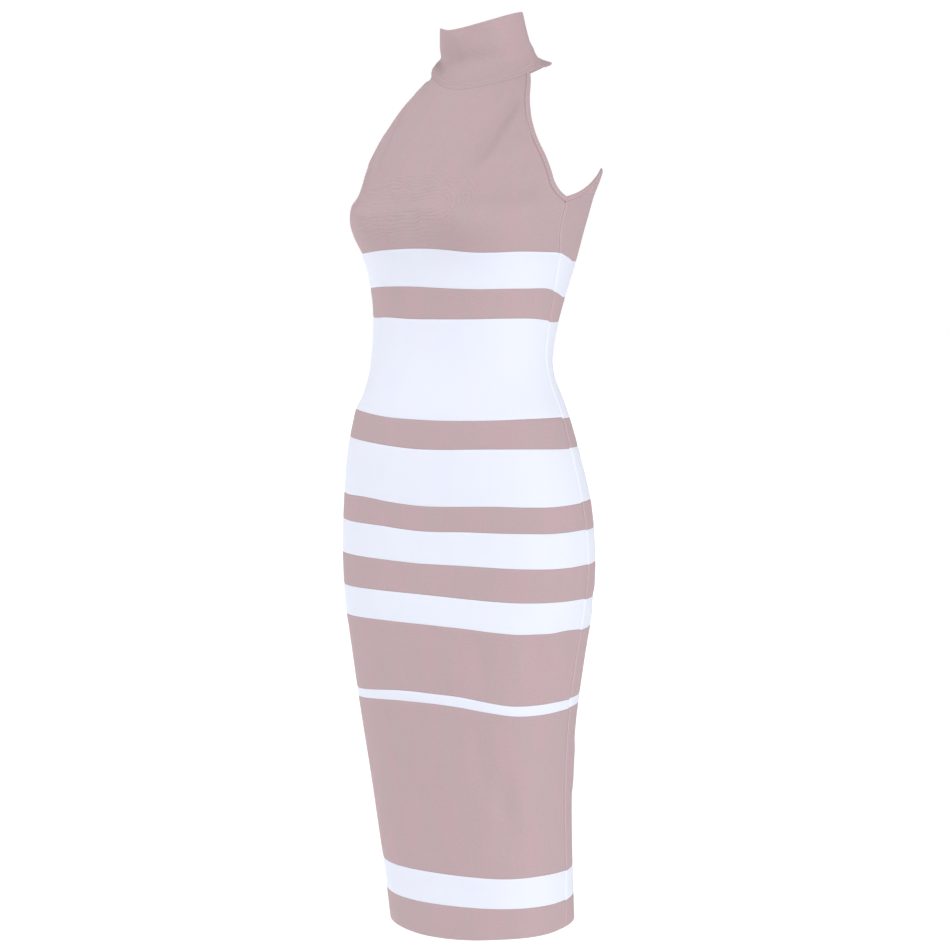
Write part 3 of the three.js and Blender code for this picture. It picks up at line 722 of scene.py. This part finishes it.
def strip(number, behind):
    name, knit_name, front = STRIPS[number][:3]
    tall = front - (STRIPS[number - 1][2] if number else 0)
    share = crowded(tall, 4.0)[:, None] / tall
    low_angle, high_angle = (side_to_side(float(strip_edge(which, 0.0, False)), behind)
                             for which in (number - 1, number))
    bottom = strip_edge(number - 1, low_angle, behind) - OVERLAP
    top = strip_edge(number, high_angle, behind) + OVERLAP
    if not number:
        bottom = bottom + HEM_CLOTH / 2   # room for the rounded fold
    angle = low_angle + share * (high_angle - low_angle)
    at = bottom + share * (top - bottom)
    above, below, ends = top - at, at - bottom, from_ends(angle, half_at(at))
    pressed = SEAM_STEP * (1 - ease(above, ALLOWANCE - 1.5, ALLOWANCE + 1.5)) * ease(above, 1, 4)
    pressed = pressed * (.6 + .4 * np.sin(angle * 7 + number * 2.1))   # uneven round the body
    pressed = pressed + SIDE_STEP * (1 - ease(ends, 6.5, 8.5)) * ease(ends, 1, 3)
    sewn = [above, ends] + ([below] if number else [])   # the hem's lower edge is no seam
    piece = cloth_wall(("back_" if behind else "front_") + name + "_cloth", knit_name, angle, at,
                       crease_relief(angle, at) + pressed + turn_down(*sewn),
                       CLOTH if number else HEM_CLOTH, () if number else ("first",),
                       seam_mm=np.minimum.reduce(sewn), side_mm=ends)
    middle_row = form_point(angle, at)[len(at) // 2]
    worn_wide = np.linalg.norm(np.diff(middle_row, axis=0), axis=1).sum() / 1000
    piece["cut"] = (worn_wide * STRETCH, (top - bottom).mean() / 1000)   # flat width and height in metres
    return piece


for number in range(len(STRIPS)):
    for behind in (False, True):
        node = ("back_" if behind else "front_") + STRIPS[number][0]
        pieces[node] = strip(number, behind)
print("strip pieces:", len(pieces), "faces:", sum(len(p.data.polygons) for p in pieces.values()))

# %% [markdown]
# ## The front bodice
#
# One panel goes from the bust seam to the collar: wide below the arms, then narrowing like a
# halter between the two armholes. The grid's side columns follow the side seam and then the
# binding's inner edge, and its rows spread evenly between them.

# %% The armhole's edge and the panel beside it
# height, degrees in front of the side
ARMHOLE = [(882, 7.5), (886, 10.3), (893, 13), (902, 15.2), (914, 16.8), (932, 18.8), (947, 21.3),
    (962, 23.4), (985, 25.3), (1008, 24.4), (1032, 18)]
armhole_degrees = smooth_curve([a for a, _ in ARMHOLE], [d for _, d in ARMHOLE])
UNDERARM, ARMHOLE_TOP, BINDING_WIDE = 882, 1032, 6.5   # two heights and a width, in millimetres
BUST_SEAM = len(STRIPS) - 1   # the strip whose upper edge it is


def beside_armhole(t, inward, side):
    """A place beside an armhole's front edge: a share t of the way up, and millimetres inwards.
    side is 1 for the wearer's left and -1 for the right."""
    edge = UNDERARM + (ARMHOLE_TOP - UNDERARM) * t
    upright = pi / 2 * ease(edge, UNDERARM, UNDERARM + 25)
    at = edge - inward * np.cos(upright)
    angle = -np.radians(armhole_degrees(edge)) - inward * np.sin(upright) / half_at(at)
    if side < 0:
        angle = -pi - angle
    return angle, at + t * (collar_seam(angle) - ARMHOLE_TOP)


def panel_side(low_at, high, side):
    """The panel's own border on one side: the side seam's heights, then shares of the armhole's edge."""
    seam_line = side_angle(low_at) if side > 0 else -pi - side_angle(low_at)
    angle, at = beside_armhole(high, BINDING_WIDE, side)
    return np.concatenate([seam_line, angle]), np.concatenate([low_at, at])


# %% Lay the front bodice
SEAM_SIDE = 813.0     # height of the bust seam at the side seams
UP_TO_BINDING = 62.0  # from there to the armhole's binding, along the side seam
PANEL_COLUMNS = 190   # places in each row of the panel


def bust_seam(angle, behind=False):
    return strip_edge(BUST_SEAM, angle, behind) - OVERLAP


def panel_top(angle):
    return collar_seam(angle) + OVERLAP


def panel_rows():
    """Shares of the way up the side seam, then up the armhole, close together at the sewn ends."""
    up_seam = crowded(2 * UP_TO_BINDING, 2.2)
    up_seam = up_seam[up_seam < UP_TO_BINDING - .5] / UP_TO_BINDING
    tall = ARMHOLE_TOP - UNDERARM
    down = crowded(2.0 * tall, 2.0)
    return up_seam, np.sort(1 - down[down <= tall] / tall)


def front_bodice():
    up_seam, up_armhole = panel_rows()
    angles, shares = [], []
    for side in (-1, 1):
        seam = side_angle(SEAM_SIDE)
        start = float(bust_seam(seam if side > 0 else -pi - seam))
        angle, at = panel_side(start + up_seam * (UNDERARM - BINDING_WIDE - start), up_armhole, side)
        share = (at - bust_seam(angle)) / (panel_top(angle) - bust_seam(angle))
        share[0], share[-1] = 0, 1
        angles.append(angle), shares.append(share)
    left_at = bust_seam(angles[1]) + shares[1] * (panel_top(angles[1]) - bust_seam(angles[1]))
    heights_up = np.linspace(SEAM_SIDE + 2, COLLAR_SEAM[1], len(left_at))
    angle = np.stack([columns_between(right, left, height, PANEL_COLUMNS)
                      for right, left, height in zip(*angles, heights_up)])
    across = (angle - angle[:, :1]) / (angle[:, -1:] - angle[:, :1])
    share = shares[0][:, None] * (1 - across) + shares[1][:, None] * across
    bottom, top = bust_seam(angle), panel_top(angle)
    at = bottom + share * (top - bottom)
    above, below, ends = top - at, at - bottom, from_ends(angle, half_at(left_at)[:, None])
    beside_binding = ease(at, UNDERARM - 9, UNDERARM - 5)
    # the collar lies over the upper seam, so the cloth dips less there
    out = crease_relief(angle, at) + turn_down(below, ends) + .4 * turn_down(above)
    ripple_mm, ripple_strength = ripple_field(angle, at)
    piece = cloth_wall("front_bodice_cloth", "mauve", angle, at, out, CLOTH,
                       seam_mm=np.minimum(np.minimum(above + .8, below), ends + .7 * beside_binding),
                       side_mm=ends + NO_SEAM * beside_binding,
                       ripple_mm=ripple_mm, ripple_strength=ripple_strength)
    piece["cut"], piece["cut_area"] = (.385, .225), .0625   # metres and square metres
    return piece


pieces["front_bodice"] = front_bodice()
print("front bodice faces:", len(pieces["front_bodice"].data.polygons))

# %% [markdown]
# ## The back bodice
#
# Behind, a low panel is left: it rises to a small peak beside each armhole and dips across the
# middle of the bare back.

# %% Lay the back bodice
# degrees behind the side, height
BACK_EDGE = [(-7.5, 882), (0, 887), (6, 892.5), (11, 898), (17, 905.5), (23, 912.5), (28, 913.5),
    (36, 903), (57, 880), (75, 869), (90, 866)]
BACK_TALL = 58.0   # about how tall the panel is
back_edge_at = smooth_curve([d for d, _ in BACK_EDGE], [a for _, a in BACK_EDGE])


def back_bodice():
    share = crowded(BACK_TALL, 3.0) / BACK_TALL
    low, high = side_to_side(SEAM_SIDE, True), side_to_side(UNDERARM - BINDING_WIDE, True)
    bottom = bust_seam(low, True)
    left_at, right_at = (bottom[k] + share * (UNDERARM - BINDING_WIDE - bottom[k]) for k in (0, -1))
    angle = np.stack([columns_between(side_angle(left), pi - side_angle(right), left)
                      for left, right in zip(left_at, right_at)])
    top = back_edge_at(behind_side(high)) - BINDING_WIDE + OVERLAP
    at = bottom + share[:, None] * (top - bottom)
    above, below = top - at, at - bottom
    ends = from_ends(angle, half_at(at))
    out = crease_relief(angle, at) + turn_down(above, below, ends)
    piece = cloth_wall("back_bodice_cloth", "mauve", angle, at, out, CLOTH,
                       seam_mm=np.minimum(np.minimum(above + .3, below), ends), side_mm=ends)
    piece["cut"], piece["cut_area"] = (.395, .1), .030
    return piece


pieces["back_bodice"] = back_bodice()
print("back bodice faces:", len(pieces["back_bodice"].data.polygons))

# %% [markdown]
# ## The bindings
#
# A narrow strip of the same knit is folded over each raw edge of the armholes and the open back,
# and stitched through. It is thicker than the panel and rounded over at the edge.

# %% Fold the bindings over the armholes and the back's edge
BINDING_CLOTH = 2.3   # millimetres thick, as it is folded
SIDEWAYS = np.array([0, .5, 1.0, 1.7, 2.6, 3.6, 4.5, 5.3])   # across the binding, up to its rounded edge
PROUD = 0.3   # how far its folded cloth stands off the form


def domed(across):
    """The binding's rounded section, a little proud of the panel beside it."""
    dome = np.sin(np.clip(across / BINDING_WIDE, 0, 1) * pi) ** .6
    return .55 * dome - .25 * np.exp(-(across / .7) ** 2)


def armhole_binding(side):
    t = np.linspace(0, 1, 90)
    rows = [beside_armhole(t, BINDING_WIDE - a, side) for a in SIDEWAYS]
    angle, at = np.stack([r[0] for r in rows]), np.stack([r[1] for r in rows])
    across = np.repeat(SIDEWAYS[:, None], len(t), 1)
    out = domed(across) + .6 * crease_relief(angle, at)
    name = "binding_left" if side > 0 else "binding_right"
    return cloth_wall(name + "_cloth", "mauve", angle, at, out, BINDING_CLOTH, ("last",), base=PROUD,
                      seam_mm=across + .7)


def back_binding():
    angles = side_to_side(float(UNDERARM), True)
    rows = [(angles, back_edge_at(behind_side(angles)) - BINDING_WIDE + a) for a in SIDEWAYS]
    angle, at = np.stack([r[0] for r in rows]), np.stack([r[1] for r in rows])
    across = np.repeat(SIDEWAYS[:, None], angle.shape[1], 1)
    return cloth_wall("binding_back_cloth", "mauve", angle, at, domed(across), BINDING_CLOTH, ("last",),
                      base=PROUD, seam_mm=across + .7)


pieces["binding_left"], pieces["binding_right"] = armhole_binding(1), armhole_binding(-1)
pieces["binding_back"] = back_binding()
for name in ("binding_left", "binding_right"):
    pieces[name]["cut"] = (.011, .165)
pieces["binding_back"]["cut"] = (.41, .011)
print("binding faces:", [len(pieces[n].data.polygons) for n in ("binding_left", "binding_back")])

# %% [markdown]
# ## The collar
#
# The collar is a doubled band that stands round the neck and is folded at its top. Its foot flares
# where it meets the shoulders, and it wrinkles softly there.

# %% Stand the collar up
COLLAR_TOP = (1091, 1100, 1092, 1088)   # front, wearer's left, back, wearer's right
COLLAR_CLOTH, COLLAR_PROUD = 2.6, 0.35   # how thick, and how far off the form, in millimetres
COLLAR_TALL = 74.0   # about how tall it stands


def collar():
    around = np.linspace(-pi, pi, 181)
    share = crowded(COLLAR_TALL, 2.2) / COLLAR_TALL
    share = share[share < .985]   # the fold needs no crowding
    bottom = collar_seam(around) - OVERLAP
    top = tilted(COLLAR_TOP, around) + waver["collar top"](around) - COLLAR_CLOTH / 2
    at = bottom + (share / share[-1])[:, None] * (top - bottom)
    angle = np.repeat(around[None], len(at), 0)
    below = at - bottom
    out = crease_relief(angle, at) + .5 * turn_down(below)
    return cloth_wall("collar_cloth", "mauve", angle, at, out, COLLAR_CLOTH, ("last",), closed=True,
                      base=COLLAR_PROUD, seam_mm=below + .8)


pieces["collar"] = collar()
pieces["collar"]["cut"] = (.34, .078)
print("collar faces:", len(pieces["collar"].data.polygons))

# %% [markdown]
# ## The stitches that show
#
# A twin needle sews the collar and the bindings down, and a few light stitches of its thread show
# beside those seams. Each one is a small rounded rod of thread that lies on the cloth. They are
# made in rows, a row to a seam, because a seam's stitches are all alike.

# %% Thread, and rows of stitches
def plain_paint(name, colour, roughness):
    """A material of one colour; gives back the material and its shader's inputs."""
    paint = bpy.data.materials.new(name)
    paint.use_nodes = True
    inputs = paint.node_tree.nodes["Principled BSDF"].inputs
    inputs["Base Color"].default_value = (*colour, 1)
    inputs["Roughness"].default_value = roughness
    return paint, inputs


thread_paint, _ = plain_paint("pale_pink_thread", (.66, .53, .555), .6)
THREAD, SIDES = .55, 6   # thickness in millimetres, sides of the rod
ROD = ((0, .35), (.2, .9), (.5, 1.05), (.8, .9), (1, .35))   # share of the length, share of the thickness


def stitch_row(name, angle, at, out, every, long):
    """Thread rods, every so many millimetres, along the line through these places."""
    outward = form_outward(angle, at)
    line = form_point(angle, at) + outward * np.reshape(out, (-1, 1))
    run = np.r_[0, np.cumsum(np.linalg.norm(np.diff(line, axis=0), axis=1))]

    def on_line(values, where):
        return np.array([np.interp(where, run, values[:, k]) for k in range(3)])

    corners, faces = [], []
    for middle in np.arange(every, run[-1] - every / 2, every):
        start, end = on_line(line, middle - long / 2), on_line(line, middle + long / 2)
        up, way = on_line(outward, middle), (end - start) / np.linalg.norm(end - start)
        side = np.cross(way, up)
        first, last = len(corners), len(corners) + (len(ROD) - 1) * SIDES
        for share, thick in ROD:
            centre = start + (end - start) * share + up * (THREAD * (.25 - 1.2 * (share - .5) ** 2))
            for turn in np.arange(SIDES) * 2 * pi / SIDES:
                corners.append(centre + THREAD / 2 * thick * (side * cos(turn) + up * sin(turn)))
        for here in range(first, last, SIDES):
            for k in range(SIDES):
                a, b = here + k, here + (k + 1) % SIDES
                faces.append((a, b, b + SIDES, a + SIDES))
        faces.append(tuple(reversed(range(first, first + SIDES))))
        faces.append(tuple(range(last, last + SIDES)))
    return add_piece(name, corners, faces, thread_paint)


print("a stitch's rod has", len(ROD) * SIDES, "corners")

# %% Sew the collar and the bindings
FROM_FOOT, FROM_EDGE = 5.5, 1.6   # millimetres above the collar's seam, and across a binding
stitches_on = {}   # CAD node: the row of stitches that shows on its cloth
ring = np.linspace(-pi, pi, 361)
foot = collar_seam(ring) + FROM_FOOT
stitches_on["collar"] = stitch_row("collar_stitches", ring, foot, crease_relief(ring, foot) + .5, 4.4, 2.6)
for side, node in ((1, "binding_left"), (-1, "binding_right")):
    angle, at = beside_armhole(np.linspace(.02, .98, 120), BINDING_WIDE - FROM_EDGE, side)
    out = PROUD + domed(FROM_EDGE) + .6 * crease_relief(angle, at)
    stitches_on[node] = stitch_row(node + "_stitches", angle, at, out, 4.6, 2.4)
angle = np.linspace(-.1, pi + .1, 300)
at = back_edge_at(behind_side(angle)) - BINDING_WIDE + FROM_EDGE
out = np.full(len(angle), PROUD + domed(FROM_EDGE))
stitches_on["binding_back"] = stitch_row("binding_back_stitches", angle, at, out, 4.6, 2.4)
print("stitch rows:", {n: len(o.data.polygons) // 26 for n, o in stitches_on.items()})

# %% [markdown]
# ## The studio
#
# The dress hangs as if on a wearer 1.70 m tall, so the floor is about 0.36 m below its hem.
# Floor and background are near white, as in a shop photograph. Two very wide lamps, the stronger
# one at the wearer's left, keep the shading soft but let the folds show.

# %% Floor, sky and lamps
FLOOR_AT = -1.395   # metres, 0.36 below the hem
LIT_FRONT, DIM_BACK = 0.73, 0.37   # the room's light from in front and from behind
bpy.ops.mesh.primitive_plane_add(size=30, location=(0, 0, FLOOR_AT))
floor = bpy.context.object
floor.name = "studio_floor"
floor_paint, floor_inputs = plain_paint("studio_floor_white", (.96, .96, .96), .9)
floor_inputs["Emission Color"].default_value = (1, 1, 1, 1)
floor_inputs["Emission Strength"].default_value = .22
floor.data.materials.append(floor_paint)

world = bpy.data.worlds.new("studio_sky")
world.use_nodes = True
room = world.node_tree
sky = room.nodes["Background"]
seen = room.nodes.new("ShaderNodeLightPath")
direction = room.nodes.new("ShaderNodeTexCoord")
split = room.nodes.new("ShaderNodeSeparateXYZ")
room.links.new(direction.outputs["Generated"], split.inputs[0])
from_front = map_range(room, split.outputs["Y"], -1, 1, LIT_FRONT, DIM_BACK)
# plain white where the room itself is seen
brightness = map_range(room, seen.outputs["Is Camera Ray"], 0, 1, from_front, 1.0)
room.links.new(brightness, sky.inputs["Strength"])
sky.inputs["Color"].default_value = (1, 1, 1, 1)
bpy.context.scene.world = world
bpy.context.scene.view_settings.view_transform = "Standard"


def soft_sun(name, around, up, strength, wide):
    """A very wide soft lamp, so far off that it lights dress and floor evenly.
    around and up are degrees, from the front and from level."""
    lamp = bpy.data.lights.new(name, "SUN")
    lamp.energy, lamp.angle = strength, radians(wide)
    holder = bpy.data.objects.new(name, lamp)
    around, up = radians(around), radians(up)
    towards = Vector((sin(around) * cos(up), -cos(around) * cos(up), sin(up)))
    holder.rotation_euler = towards.to_track_quat("Z", "Y").to_euler()
    holder.location = towards * 4
    bpy.context.scene.collection.objects.link(holder)
    return holder


soft_sun("key_softbox", 70, 36, 1.5, 22)
soft_sun("fill_softbox", -66, 26, 1.08, 40)

# %% [markdown]
# ## Hang each piece on the root
#
# Every piece of cloth is hung on the root, with any row of stitches on it, and the CAD solid that
# it takes the place of is hidden. Stretch knit is cut about a tenth smaller than it is worn.

for node, piece in pieces.items():
    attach(piece, "root")
    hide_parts(node)
    rows = [stitches_on[node]] if node in stitches_on else []
    for row in rows:
        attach(row, "root")
print("pieces:", len(pieces), "triangles:", sum(len(p.data.loop_triangles) for p in pieces.values()))

# %% Bring the scene up to date
bpy.context.view_layer.update()
